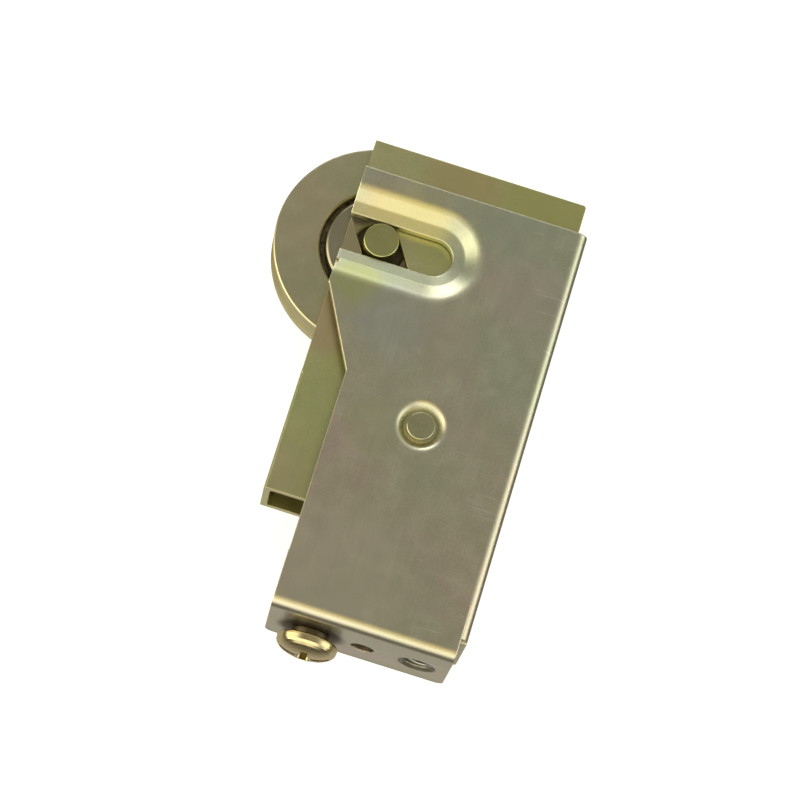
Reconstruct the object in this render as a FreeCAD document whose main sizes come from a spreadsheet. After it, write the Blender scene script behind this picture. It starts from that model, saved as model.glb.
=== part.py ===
import FreeCAD, Part
import Sketcher
import math
import os

# Adjustable sliding door roller: a steel wheel on a full-complement ball
# bearing. Its axle runs in straight slots across a folded sheet-metal housing
# and, inside them, in slanted cam slots of a channel (the slider) that moves
# along the housing. A screw through the housing's end flange pulls the slider
# and so sets how far the wheel stands out.
#
# Frame, millimetres: origin at the wheel's centre. +X runs along the housing
# to the flange end, +Y is the wheel's axis, +Z points up into the door, so the
# wheel rolls on its track at -Z. Front is -Y: the end flange is bent from the
# front plate. Depths in a plate are taken inward from its outer face.

os.makedirs("parts", exist_ok=True)

doc = FreeCAD.newDocument("SlidingDoorRoller")
sheet = doc.addObject("Spreadsheet::Sheet", "Dims")

# Driving dimensions: alias, value.
DIMENSIONS = [
    # housing: a channel with its web on top
    ("sheet", 1.5), ("bend_out", 2.0), ("bend_in", 0.5),
    ("front_y", -9.95), ("back_y", 9.10), ("web_z", 35.2), ("lower_z", -6.7),
    ("wheel_end_x", -12.1), ("web_end_x", 66.3),
    # step in the lower edges of both plates
    ("step_start_x", 10.85), ("step_end_x", 25.85), ("side_z", 1.05),
    # end flange and the corner relief before it
    ("flange_x", 70.2), ("flange_low_z", 0.95), ("flange_high_z", 33.9),
    ("flange_corner", 1.6), ("flange_lap", 6.0),
    ("relief_x", 66.0), ("relief_gap", 0.1), ("relief_extra", 3.0),
    # slot and the dished ground round it: half widths and depths
    ("slot_half", 3.57), ("slot_end_z", 9.7),
    ("dish_out", 8.6), ("dish_in", 5.7), ("dish_deep", 1.6),
    ("dish_back_out", 7.6), ("dish_back_in", 5.6), ("dish_back_deep", 1.0),
    ("lip_in", 3.3), ("lip_deep", 0.66), ("wall_start", 0.3),
    # nick in the front plate's lower edge
    ("nick_gap", 0.1), ("nick_drop", 0.6), ("nick_wide", 0.9), ("nick_tall", 1.15),
    # guide pin, its bosses and its spacer
    ("pivot_x", 31.53), ("pivot_z", 16.5), ("pivot_rad", 1.95), ("pivot_gap", 0.02),
    ("boss_out", 4.35), ("boss_in", 2.95), ("boss_deep", 1.2), ("boss_back_deep", 0.95),
    ("head_rad", 2.55), ("head_face", 2.4), ("head_rise", 1.15), ("head_bevel", 0.16),
    ("head_back_rise", 0.9), ("head_back_side", 0.45),
    ("spacer_rad", 3.6), ("spacer_gap", 0.03), ("spacer_bevel", 0.25),
    # flange holes, all on one line
    ("row_y", 0.8), ("screw_z", 8.9), ("small_z", 18.3), ("thread_z", 28.26),
    ("screw_hole", 3.15), ("small_rad", 2.15), ("thread_rad", 2.65),
    ("thread_mouth", 3.4), ("mouth_deep", 0.55),
    ("collar_rad", 4.1), ("collar_deep", 1.3), ("collar_lap", 0.5),
    # slider: a channel with its web at the bottom
    ("slider_sheet", 1.2), ("slider_half", 5.9), ("slider_web_z", -6.5),
    ("slider_top_z", 33.55), ("slider_end_x", -19.1), ("slider_web_x", 26.5),
    ("slider_tail_x", 49.55), ("slider_bend_out", 0.5), ("slider_bend_in", 0.7),
    ("slider_corner", 0.6), ("tail_bevel", 4.0),
    # where the slider's arms lap onto its channel
    ("arm_lift", 0.05), ("arm_lap_low", 0.8), ("arm_lap_high", 2.0),
    ("arm_slope_low", 1.6), ("arm_slope_high", 3.0),
    # cam and guide slots
    ("cam_half", 3.65), ("cam_deg", 32.0), ("cam_low", 6.0), ("cam_high", 11.6),
    ("guide_half", 3.68), ("guide_start_x", 26.5), ("guide_end_x", 41.35),
    # wheel and bearing
    ("wheel_rad", 19.05), ("wheel_half", 4.0), ("rim_bevel", 0.22),
    ("tread_rad", 4.6), ("tread_deep", 0.95), ("wheel_bore", 10.8), ("bore_bevel", 0.35),
    ("race_half", 4.5), ("race_rad", 9.6), ("race_bore", 4.55), ("race_bevel", 0.35),
    ("pitch_rad", 10.2), ("ball_rad", 2.0), ("groove_rad", 2.06), ("ball_count", 14),
    ("sleeve_half", 3.3), ("sleeve_bore", 3.2),
    ("axle_rad", 3.175), ("axle_half", 8.35), ("axle_bevel", 0.13),
    # adjusting screw
    ("shank_rad", 2.70), ("screw_tip_x", 29.0), ("tip_bevel", 0.7),
    ("neck_rad", 3.4), ("neck_long", 1.6), ("neck_bevel", 0.2),
    ("screw_head", 5.5), ("head_side", 0.85), ("head_total", 3.3),
    ("cross_wide", 1.25), ("slot_deep", 1.3), ("cross_long", 6.6), ("cross_deep", 1.9),
    ("core_tip", 0.5), ("core_mouth", 1.6), ("core_extra", 0.4),
    # nut and retaining washer
    ("nut_x", 43.5), ("nut_long", 6.0), ("nut_tall", 7.0), ("nut_half", 4.65),
    ("nut_bevel", 0.6), ("nut_bore", 2.76),
    ("tab_half", 2.0), ("tab_end", 5.8), ("window_half", 2.05),
    ("washer_rad", 4.9), ("washer_thick", 0.7), ("washer_gap", 0.08),
]
VALUE = {}
for row, (alias, value) in enumerate(DIMENSIONS, start=1):
    sheet.set("A%d" % row, alias)
    sheet.set("B%d" % row, repr(float(value)))
    sheet.setAlias("B%d" % row, alias)
    VALUE[alias] = float(value)
doc.recompute()

# How far cutting tools reach past the faces they cut.
TOOL_PAST = 2.0
SKETCH_PAST = 5.0
SLOT_PAST = 8.0


# ---------------------------------------------------------------- bound numbers
class Quantity:
    """A number together with the sheet formula that gives it."""

    def __init__(self, value, text):
        self.value = float(value)
        self.text = text

    def _joined(self, value, sign, other):
        return Quantity(value, "(%s %s %s)" % (self.text, sign, formula(other)))

    def __add__(self, other):
        return self._joined(self.value + number(other), "+", other)

    def __sub__(self, other):
        return self._joined(self.value - number(other), "-", other)

    def __mul__(self, other):
        return self._joined(self.value * number(other), "*", other)

    def __truediv__(self, other):
        return self._joined(self.value / number(other), "/", other)

    def __neg__(self):
        return Quantity(-self.value, "(0 - %s)" % self.text)


def number(size):
    return size.value if isinstance(size, Quantity) else float(size)


def formula(size):
    return size.text if isinstance(size, Quantity) else "(%r)" % float(size)


class SheetReader:
    """Gives each driving dimension as an attribute."""

    def __getattr__(self, alias):
        return Quantity(VALUE[alias], "Dims." + alias)


dim = SheetReader()


def root(size):
    return Quantity(math.sqrt(size.value), "sqrt(%s)" % size.text)


def cos_deg(angle):
    return Quantity(math.cos(math.radians(angle.value)), "cos(%s * 1 deg)" % angle.text)


def sin_deg(angle):
    return Quantity(math.sin(math.radians(angle.value)), "sin(%s * 1 deg)" % angle.text)


# ---------------------------------------------------------------- solids
# Turns that lay a primitive's own axis along the named direction.
AXIS_TURN = {
    "z": FreeCAD.Rotation(),
    "y": FreeCAD.Rotation(FreeCAD.Vector(1, 0, 0), -90),
    "-y": FreeCAD.Rotation(FreeCAD.Vector(1, 0, 0), 90),
    "x": FreeCAD.Rotation(FreeCAD.Vector(0, 1, 0), 90),
}


def place(obj, base, turn=AXIS_TURN["z"]):
    obj.Placement = FreeCAD.Placement(FreeCAD.Vector(*[number(c) for c in base]), turn)
    for axis, coordinate in zip("xyz", base):
        if isinstance(coordinate, Quantity):
            obj.setExpression("Placement.Base." + axis, coordinate.text)
    return obj


def put(obj, prop, size):
    """Bind one property to the sheet, or set it where it is a plain number."""
    if isinstance(size, Quantity):
        obj.setExpression(prop, size.text)
    else:
        setattr(obj, prop, size)


def primitive(kind, name, base, turn, **sizes):
    obj = doc.addObject("Part::" + kind, name)
    for prop, size in sizes.items():
        put(obj, prop, size)
    return place(obj, base, turn)


def cylinder(name, base, radius, length, axis="y"):
    return primitive("Cylinder", name, base, AXIS_TURN[axis], Radius=radius, Height=length)


def cone(name, base, first, last, length, axis):
    return primitive("Cone", name, base, AXIS_TURN[axis],
                     Radius1=first, Radius2=last, Height=length)


def box(name, corner, size, turn=AXIS_TURN["z"]):
    length, width, height = size
    return primitive("Box", name, corner, turn, Length=length, Width=width, Height=height)


def torus(name, major, minor):
    """A ring round the wheel's axis."""
    return primitive("Torus", name, (0.0, 0.0, 0.0), AXIS_TURN["y"],
                     Radius1=major, Radius2=minor)


def fuse(name, shapes):
    obj = doc.addObject("Part::MultiFuse", name)
    obj.Shapes = shapes
    return obj


def cut(name, base, tool):
    obj = doc.addObject("Part::Cut", name)
    obj.Base = base
    obj.Tool = tool
    return obj


# ---------------------------------------------------------------- body features
def new_body(name):
    return doc.addObject("PartDesign::Body", name)


def outline(body, name, role, points, offset=None):
    """A closed polygon whose corners are each held from the origin by two
    distances that follow the sheet. The XZ plane's normal is -Y."""
    sketch = body.newObject("Sketcher::SketchObject", name)
    plane = [f for f in body.Origin.OriginFeatures if f.Role == role][0]
    sketch.AttachmentSupport = (plane, [""])
    sketch.MapMode = "FlatFace"
    if offset is not None:
        sketch.AttachmentOffset = FreeCAD.Placement(
            FreeCAD.Vector(0, 0, offset.value), FreeCAD.Rotation())
        sketch.setExpression("AttachmentOffset.Base.z", offset.text)
    count = len(points)
    corners = [FreeCAD.Vector(number(across), number(up), 0) for across, up in points]
    for i in range(count):
        sketch.addGeometry(Part.LineSegment(corners[i], corners[(i + 1) % count]), False)
    for i in range(count):
        sketch.addConstraint(Sketcher.Constraint("Coincident", i, 2, (i + 1) % count, 1))
    for i, (across, up) in enumerate(points):
        for kind, size in (("DistanceX", across), ("DistanceY", up)):
            index = sketch.addConstraint(
                Sketcher.Constraint(kind, -1, 1, i, 1, number(size)))
            if isinstance(size, Quantity):
                sketch.setExpression("Constraints[%d]" % index, size.text)
    return sketch


def pad(body, name, sketch, length, reverse=False):
    obj = body.newObject("PartDesign::Pad", name)
    obj.Profile = sketch
    put(obj, "Length", length)
    obj.Reversed = reverse
    return obj


def pocket(body, name, sketch, length=None):
    """Cut to a length along the sketch's normal, or right through both ways."""
    obj = body.newObject("PartDesign::Pocket", name)
    obj.Profile = sketch
    if length is None:
        obj.Type = "ThroughAll"
        obj.Midplane = True
    else:
        put(obj, "Length", length)
        obj.Reversed = True
    return obj


def turned(name, stem, points, axis="V_Axis"):
    """A body revolved from an XY section, about Y unless H_Axis (X) is given."""
    body = new_body(name)
    sketch = outline(body, stem + "Section", "XY_Plane", points)
    obj = body.newObject("PartDesign::Revolution", stem + "Turned")
    obj.Profile = sketch
    obj.ReferenceAxis = (sketch, [axis])
    obj.Angle = 360
    return body


def runs_along(edge, axis, spot):
    """A straight edge parallel to an axis, passing through given coordinates."""
    if edge.Curve.TypeId != "Part::GeomLine":
        return False
    start = edge.Vertexes[0].Point
    run = edge.Vertexes[-1].Point.sub(start)
    if abs(abs(getattr(run, axis)) - run.Length) > 1e-6:
        return False
    return all(abs(getattr(start, key) - number(at)) < 1e-4 for key, at in spot.items())


def round_edges(body, name, base, axis, spots, radius):
    """Fillet the base's straight edges along an axis through the given spots."""
    doc.recompute()
    names = ["Edge%d" % i for i, edge in enumerate(base.Shape.Edges, start=1)
             if any(runs_along(edge, axis, spot) for spot in spots)]
    obj = body.newObject("PartDesign::Fillet", name)
    obj.Base = (base, names)
    put(obj, "Radius", radius)
    return obj


# ---------------------------------------------------------------- housing sheet
def make_housing_sheet():
    front, back, web, low = dim.front_y, dim.back_y, dim.web_z, dim.lower_z
    flange_x = dim.flange_x
    front_in = front + dim.sheet
    back_in = back - dim.sheet
    web_in = web - dim.sheet
    flange_in = flange_x - dim.sheet
    body = new_body("HousingSheet")

    # Channel: front plate, web, back plate, drawn across and run along X.
    sketch = outline(body, "ChannelSection", "YZ_Plane", [
        (front, low), (front, web), (back, web), (back, low),
        (back_in, low), (back_in, web_in), (front_in, web_in), (front_in, low)],
        dim.wheel_end_x)
    feature = pad(body, "Channel", sketch, dim.web_end_x - dim.wheel_end_x)
    feature = round_edges(body, "WebBends", feature, "x",
                          [dict(y=front, z=web), dict(y=back, z=web)], dim.bend_out)
    round_edges(body, "WebBendsInside", feature, "x",
                [dict(y=front_in, z=web_in), dict(y=back_in, z=web_in)], dim.bend_in)

    # Both plates narrow from the wheel end to the flange end.
    below = low - SKETCH_PAST
    beyond = flange_x + SKETCH_PAST * 2.0
    sketch = outline(body, "NarrowSides", "XZ_Plane", [
        (dim.step_start_x, low), (dim.step_end_x, dim.side_z), (beyond, dim.side_z),
        (beyond, below), (dim.step_start_x, below)])
    pocket(body, "NarrowSidesCut", sketch)

    # The front bend and plate stop at the corner relief.
    above = web + SKETCH_PAST
    beyond = flange_x + SKETCH_PAST
    sketch = outline(body, "CornerRelief", "XZ_Plane", [
        (dim.relief_x, below), (dim.relief_x, above), (beyond, above), (beyond, below)],
        -(front + dim.bend_out + dim.relief_gap))
    pocket(body, "CornerReliefCut", sketch, dim.bend_out + dim.relief_extra)

    # End flange, bent back from the front plate.
    lap_x = dim.relief_x - dim.flange_lap
    sketch = outline(body, "FlangeSection", "XY_Plane", [
        (lap_x, front), (flange_x, front), (flange_x, back), (flange_in, back),
        (flange_in, front_in), (lap_x, front_in)], dim.flange_low_z)
    feature = pad(body, "EndFlange", sketch, dim.flange_high_z - dim.flange_low_z)
    feature = round_edges(body, "FlangeBend", feature, "z",
                          [dict(x=flange_x, y=front)], dim.bend_out)
    feature = round_edges(body, "FlangeBendInside", feature, "z",
                          [dict(x=flange_in, y=front_in)], dim.bend_in)
    body.Tip = round_edges(
        body, "FlangeCorners", feature, "x",
        [dict(y=back, z=dim.flange_low_z), dict(y=back, z=dim.flange_high_z)],
        dim.flange_corner)
    return body


# ---------------------------------------------------------------- pressings
# Pressed hollows in the two plates: name, inward direction along Y, depth,
# half width at the outer face, half width at the foot of the slope, and the
# fillet radii of the creases in the order that creases() gives them. The
# dishes' fourth crease stays sharp.
DISHES = [
    ("FrontDish", 1, dim.dish_deep, dim.dish_out, dim.dish_in, (3.6, 1.0, 2.2)),
    ("BackDish", -1, dim.dish_back_deep, dim.dish_back_out, dim.dish_back_in,
     (2.4, 0.8, 1.4)),
]
BOSSES = [
    ("FrontBoss", 1, dim.boss_deep, dim.boss_out, dim.boss_in, (1.5, 0.25, 0.8, 1.0)),
    ("BackBoss", -1, dim.boss_back_deep, dim.boss_out, dim.boss_in,
     (1.2, 0.35, 0.6, 1.0)),
]
# Centres (x, z) of the slot's round end and of the guide pin.
SLOT_CENTRE = (0.0, dim.slot_end_z)
PIVOT_CENTRE = (dim.pivot_x, dim.pivot_z)


def outer_face(inward):
    return dim.front_y if inward > 0 else dim.back_y


def inner_side(deep, wide, narrow, depth):
    """Half widths of the sheet's inner side under a slope from wide to narrow:
    at the given depth, and at the slope's foot."""
    run = wide - narrow
    slant = root(deep * deep + run * run)
    return (wide - run * depth / deep + dim.sheet * slant / deep,
            narrow + dim.sheet * (slant - run) / deep)


def taper_cone(name, centre, inward, start, end, first, last):
    """A cone between two depths of a plate."""
    x, z = centre
    base = (x, outer_face(inward) + start * inward, z)
    return cone(name, base, first, last, end - start, "y" if inward > 0 else "-y")


def taper_slot(name, inward, start, end, first, last, bottom):
    """A tapered block up to the slot's end and the cone that closes it."""
    sides = [(outer_face(inward) + start * inward, first),
             (outer_face(inward) + end * inward, last)]
    if inward < 0:
        sides.reverse()
    (low_y, low_half), (high_y, high_half) = sides
    block = primitive(
        "Wedge", name + "Block", (0.0, 0.0, 0.0), AXIS_TURN["z"],
        Xmin=-low_half, Xmax=low_half, Ymin=low_y, Ymax=high_y,
        Zmin=bottom, Zmax=dim.slot_end_z, X2min=-high_half, X2max=high_half,
        Z2min=bottom, Z2max=dim.slot_end_z)
    return [block, taper_cone(name + "End", SLOT_CENTRE, inward, start, end, first, last)]


def make_dish(name, inward, deep, wide, narrow):
    """The ground round the slot, pressed inward: a slope down to a crease,
    then a lip that falls a little further to the slot's edge. Gives the
    hollows to cut and the sheet that follows them."""
    back = deep + dim.sheet
    inner_wide, inner_narrow = inner_side(deep, wide, narrow, dim.wall_start)
    cut_bottom = dim.lower_z - SLOT_PAST
    hollows = taper_slot(name + "Hollow", inward, 0.0, deep, wide, narrow, cut_bottom) + \
        taper_slot(name + "LipHollow", inward, deep, deep + dim.lip_deep,
                   narrow, dim.lip_in, cut_bottom)
    # The lip's wall starts slightly inside the slope's, so the two overlap.
    walls = taper_slot(name + "Wall", inward, dim.wall_start, back,
                       inner_wide, inner_narrow, dim.lower_z) + \
        taper_slot(name + "LipWall", inward, back - 0.01, back + dim.lip_deep,
                   inner_narrow - 0.02, dim.lip_in, dim.lower_z)
    return hollows, walls


def make_boss(name, inward, deep, wide, narrow):
    """The small pressed dimple round the guide pin: its hollow and its sheet."""
    inner_wide, inner_narrow = inner_side(deep, wide, narrow, dim.wall_start)
    hollow = taper_cone(name + "Hollow", PIVOT_CENTRE, inward, 0.0, deep, wide, narrow)
    wall = taper_cone(name + "Wall", PIVOT_CENTRE, inward, dim.wall_start,
                      deep + dim.sheet, inner_wide, inner_narrow)
    return [hollow], [wall]


def creases(inward, deep, wide, narrow):
    """Y and half width of a pressing's creases: wide and narrow on the outer
    side, then wide and narrow on the inner side."""
    inner_wide, inner_narrow = inner_side(deep, wide, narrow, dim.sheet)
    depths = (0.0, deep, dim.sheet, deep + dim.sheet)
    halves = (wide, narrow, inner_wide, inner_narrow)
    return [(outer_face(inward).value + inward * number(depth), half.value)
            for depth, half in zip(depths, halves)]


def on_crease(edge, y, reach, centre):
    """An edge at constant y that follows a circle round the centre or, for
    the slot, a straight side at the same distance from its middle."""
    tolerance = 1e-3
    centre_x, centre_z = [number(c) for c in centre]
    bounds = edge.BoundBox
    if bounds.YLength > tolerance or abs(bounds.YMin - y) > tolerance:
        return False
    if edge.Curve.TypeId == "Part::GeomCircle":
        middle = edge.Curve.Center
        return (abs(edge.Curve.Radius - reach) < tolerance
                and abs(middle.z - centre_z) < 0.05 and abs(middle.x - centre_x) < 0.05)
    if edge.Curve.TypeId == "Part::GeomLine" and centre_x == 0.0:
        return (abs(abs(bounds.XMin) - reach) < tolerance
                and bounds.XLength < tolerance and bounds.ZLength > 1.0)
    return False


def crease_fillets(shape, pressings, centre):
    """Edge number and the radius at both its ends, for each rounded crease."""
    picks = []
    for _, inward, deep, wide, narrow, radii in pressings:
        for (y, reach), radius in zip(creases(inward, deep, wide, narrow), radii):
            picks += [(i, radius, radius) for i, edge in enumerate(shape.Edges, start=1)
                      if on_crease(edge, y, reach, centre)]
    return picks


# ---------------------------------------------------------------- housing
def make_housing_holes():
    start_y = dim.front_y - TOOL_PAST
    across = dim.back_y - dim.front_y + TOOL_PAST * 2.0
    slot_bottom = dim.lower_z - SLOT_PAST
    tools = [
        box("SlotStraight", (-dim.slot_half, start_y, slot_bottom),
            (dim.slot_half * 2.0, across, dim.slot_end_z - slot_bottom)),
        cylinder("SlotEnd", (0.0, start_y, dim.slot_end_z), dim.slot_half, across),
        cylinder("PivotHole", (dim.pivot_x, start_y, dim.pivot_z),
                 dim.pivot_rad + dim.pivot_gap, across),
    ]
    # Holes in the flange: name, z, radius, start inside the outer face, length.
    for name, z, radius, inside, length in [
            ("ScrewHole", dim.screw_z, dim.screw_hole, 3.0, 6.0),
            ("SmallHole", dim.small_z, dim.small_rad, 3.0, 6.0),
            ("ThreadHole", dim.thread_z, dim.thread_rad, 6.0, 9.0)]:
        tools.append(cylinder(name, (dim.flange_x - inside, dim.row_y, z),
                              radius, length, "x"))
    tools.append(cone("ThreadMouth", (dim.flange_x - dim.mouth_deep, dim.row_y, dim.thread_z),
                      dim.thread_rad, dim.thread_mouth, dim.mouth_deep, "x"))
    # A small nick in the front plate's lower edge, on the dish's +X side.
    tools.append(box(
        "LipNick",
        (dim.dish_in + dim.nick_gap, dim.front_y - 1.0, dim.lower_z - dim.nick_drop),
        (dim.nick_wide, dim.sheet * 2.6, dim.nick_tall)))
    return fuse("HousingHoles", tools)


def make_housing():
    walls = [make_housing_sheet()]
    hollows = []
    for pressings, make in ((DISHES, make_dish), (BOSSES, make_boss)):
        for name, inward, deep, wide, narrow, _ in pressings:
            new_hollows, new_walls = make(name, inward, deep, wide, narrow)
            hollows += new_hollows
            walls += new_walls
    collar_x = dim.flange_x - dim.sheet - dim.collar_deep
    walls.append(cylinder("ThreadCollar", (collar_x, dim.row_y, dim.thread_z),
                          dim.collar_rad, dim.collar_deep + dim.collar_lap, "x"))
    pressed = cut("HousingPressed", fuse("HousingWalls", walls),
                  fuse("HousingHollows", hollows))
    # The creases are rounded before the holes are cut, while they are whole.
    doc.recompute()
    rounded = doc.addObject("Part::Fillet", "HousingRounded")
    rounded.Base = pressed
    rounded.Edges = crease_fillets(pressed.Shape, DISHES, SLOT_CENTRE) + \
        crease_fillets(pressed.Shape, BOSSES, PIVOT_CENTRE)
    return cut("Housing", rounded, make_housing_holes())


# ---------------------------------------------------------------- slider
def make_slider_sheet():
    thick, half = dim.slider_sheet, dim.slider_half
    web, top = dim.slider_web_z, dim.slider_top_z
    web_x, tail_x, end_x = dim.slider_web_x, dim.slider_tail_x, dim.slider_end_x
    half_in = half - thick
    web_in = web + thick
    body = new_body("SliderSheet")
    sketch = outline(body, "SliderSection", "YZ_Plane", [
        (-half, web), (half, web), (half, top), (half_in, top),
        (half_in, web_in), (-half_in, web_in), (-half_in, top), (-half, top)], web_x)
    feature = pad(body, "SliderChannel", sketch, tail_x - web_x)
    feature = round_edges(body, "SliderBends", feature, "x",
                          [dict(y=half, z=web), dict(y=-half, z=web)],
                          dim.slider_bend_out)
    round_edges(body, "SliderBendsInside", feature, "x",
                [dict(y=half_in, z=web_in), dict(y=-half_in, z=web_in)],
                dim.slider_bend_in)

    # Past the web the two side plates run on, clear of the wheel between them.
    low = web + dim.arm_lift
    lap_low_x = web_x + dim.arm_lap_low
    lap_high_x = web_x + dim.arm_lap_high
    for side, offset in (("Front", half), ("Back", -half_in)):
        sketch = outline(body, "SliderArm" + side, "XZ_Plane", [
            (end_x, low), (lap_low_x, low), (lap_low_x, web + dim.arm_slope_low),
            (lap_high_x, web + dim.arm_slope_high), (lap_high_x, top), (end_x, top)],
            offset)
        pad(body, "SliderArmPlate" + side, sketch, thick, reverse=True)

    # Both plates lose their upper corner at the tail.
    bevel_x = tail_x - dim.tail_bevel
    bevel_z = top - dim.tail_bevel
    sketch = outline(body, "SliderTailCorner", "XZ_Plane", [
        (bevel_x, top + 1.0), (bevel_x, top), (tail_x, bevel_z),
        (tail_x + 1.0, bevel_z), (tail_x + 1.0, top + 1.0)])
    feature = pocket(body, "SliderTailCornerCut", sketch)
    body.Tip = round_edges(body, "SliderTopCorners", feature, "y",
                           [dict(x=end_x, z=top)], dim.slider_corner)
    return body


def make_slider():
    body = make_slider_sheet()
    start_y = -dim.slider_half - TOOL_PAST
    across = dim.slider_half * 2.0 + TOOL_PAST * 2.0
    # The cam slots slant across the slider; near their lower end they break
    # out through its lower edge and leave a pointed finger.
    cosine, sine = cos_deg(dim.cam_deg), sin_deg(dim.cam_deg)
    cam_turn = FreeCAD.Rotation(FreeCAD.Vector(0, 1, 0), -dim.cam_deg.value)
    low_x = -dim.cam_low * cosine
    low_z = -dim.cam_low * sine
    tools = [
        box("CamStraight",
            (low_x + dim.cam_half * sine, start_y, low_z - dim.cam_half * cosine),
            (dim.cam_low + dim.cam_high, across, dim.cam_half * 2.0), cam_turn),
        cylinder("CamLow", (low_x, start_y, low_z), dim.cam_half, across),
        cylinder("CamHigh", (dim.cam_high * cosine, start_y, dim.cam_high * sine),
                 dim.cam_half, across),
        # Guide slots along the slider run on the spacer of the fixed pin.
        box("GuideStraight", (dim.guide_start_x, start_y, dim.pivot_z - dim.guide_half),
            (dim.guide_end_x - dim.guide_start_x, across, dim.guide_half * 2.0)),
        cylinder("GuideLow", (dim.guide_start_x, start_y, dim.pivot_z),
                 dim.guide_half, across),
        cylinder("GuideHigh", (dim.guide_end_x, start_y, dim.pivot_z),
                 dim.guide_half, across),
        # Square windows hold the nut's two tabs.
        box("NutWindow",
            (dim.nut_x - dim.window_half, start_y, dim.screw_z - dim.window_half),
            (dim.window_half * 2.0, across, dim.window_half * 2.0)),
    ]
    return cut("Slider", body, fuse("SliderHoles", tools))


# ---------------------------------------------------------------- guide pin
# Floors of the pressed bosses, on which the pin's two heads sit.
seat_front = dim.front_y + dim.boss_deep
seat_back = dim.back_y - dim.boss_back_deep


def make_guide_pin():
    front_end = seat_front - dim.head_rise
    back_end = seat_back + dim.head_back_rise
    pin = turned("PivotPin", "Pivot", [
        (0.0, front_end), (dim.head_face, front_end),
        (dim.head_rad, front_end + dim.head_bevel), (dim.head_rad, seat_front),
        (dim.pivot_rad, seat_front), (dim.pivot_rad, seat_back),
        (dim.head_rad, seat_back), (dim.head_rad, seat_back + dim.head_back_side),
        (dim.head_face, back_end), (0.0, back_end)])
    return place(pin, (dim.pivot_x, 0.0, dim.pivot_z))


def make_guide_spacer():
    front_end = seat_front + dim.sheet
    back_end = seat_back - dim.sheet
    bore = dim.pivot_rad + dim.spacer_gap
    radius, bevel = dim.spacer_rad, dim.spacer_bevel
    spacer = turned("PivotSpacer", "Spacer", [
        (bore, front_end), (radius - bevel, front_end), (radius, front_end + bevel),
        (radius, back_end - bevel), (radius - bevel, back_end), (bore, back_end)])
    return place(spacer, (dim.pivot_x, 0.0, dim.pivot_z))


# ---------------------------------------------------------------- wheel and bearing
def make_wheel():
    half, radius, bevel = dim.wheel_half, dim.wheel_rad, dim.rim_bevel
    bore, bore_bevel = dim.wheel_bore, dim.bore_bevel
    blank = turned("WheelBlank", "Wheel", [
        (bore, bore_bevel - half), (bore + bore_bevel, -half),
        (radius - bevel, -half), (radius, bevel - half),
        (radius, half - bevel), (radius - bevel, half),
        (bore + bore_bevel, half), (bore, half - bore_bevel)])
    tread = torus("TreadGroove", radius - dim.tread_deep + dim.tread_rad, dim.tread_rad)
    ball_path = torus("OuterBallPath", dim.pitch_rad, dim.groove_rad)
    return cut("Wheel", blank, fuse("WheelGrooves", [tread, ball_path]))


def make_race(side, direction):
    """One half of the inner race, from the middle plane towards one side."""
    end = dim.race_half * direction
    bore, radius, bevel = dim.race_bore, dim.race_rad, dim.race_bevel
    bevel_y = end - bevel * direction
    blank = turned("Race%sBlank" % side, "Race" + side, [
        (bore, 0.0), (radius, 0.0), (radius, bevel_y), (radius - bevel, end),
        (bore + bevel, end), (bore, bevel_y)])
    return cut("InnerRace" + side, blank,
               torus("InnerBallPath" + side, dim.pitch_rad, dim.groove_rad))


def make_balls():
    balls = []
    for i in range(int(VALUE["ball_count"])):
        angle = Quantity(360.0 * i / VALUE["ball_count"],
                         "(%d * 360 / Dims.ball_count)" % i)
        centre = (dim.pitch_rad * cos_deg(angle), 0.0, dim.pitch_rad * sin_deg(angle))
        balls.append(primitive("Sphere", "Ball%02d" % i, centre, AXIS_TURN["z"],
                               Radius=dim.ball_rad))
    compound = doc.addObject("Part::Compound", "Balls")
    compound.Links = balls
    return compound


def make_axle_sleeve():
    half = dim.sleeve_half
    return turned("AxleSleeve", "Sleeve", [
        (dim.sleeve_bore, -half), (dim.race_bore, -half),
        (dim.race_bore, half), (dim.sleeve_bore, half)])


def make_axle_pin():
    half, radius, bevel = dim.axle_half, dim.axle_rad, dim.axle_bevel
    return turned("AxlePin", "Axle", [
        (0.0, -half), (radius - bevel, -half), (radius, bevel - half),
        (radius, half - bevel), (radius - bevel, half), (0.0, half)])


# ---------------------------------------------------------------- adjusting screw
# The head's dome is drawn with short chords.
DOME_CHORDS = 8
DOME_STEP_DEG = 10.5
DOME_POWER = 0.88  # under 1 makes the dome fuller than an ellipse


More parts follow.
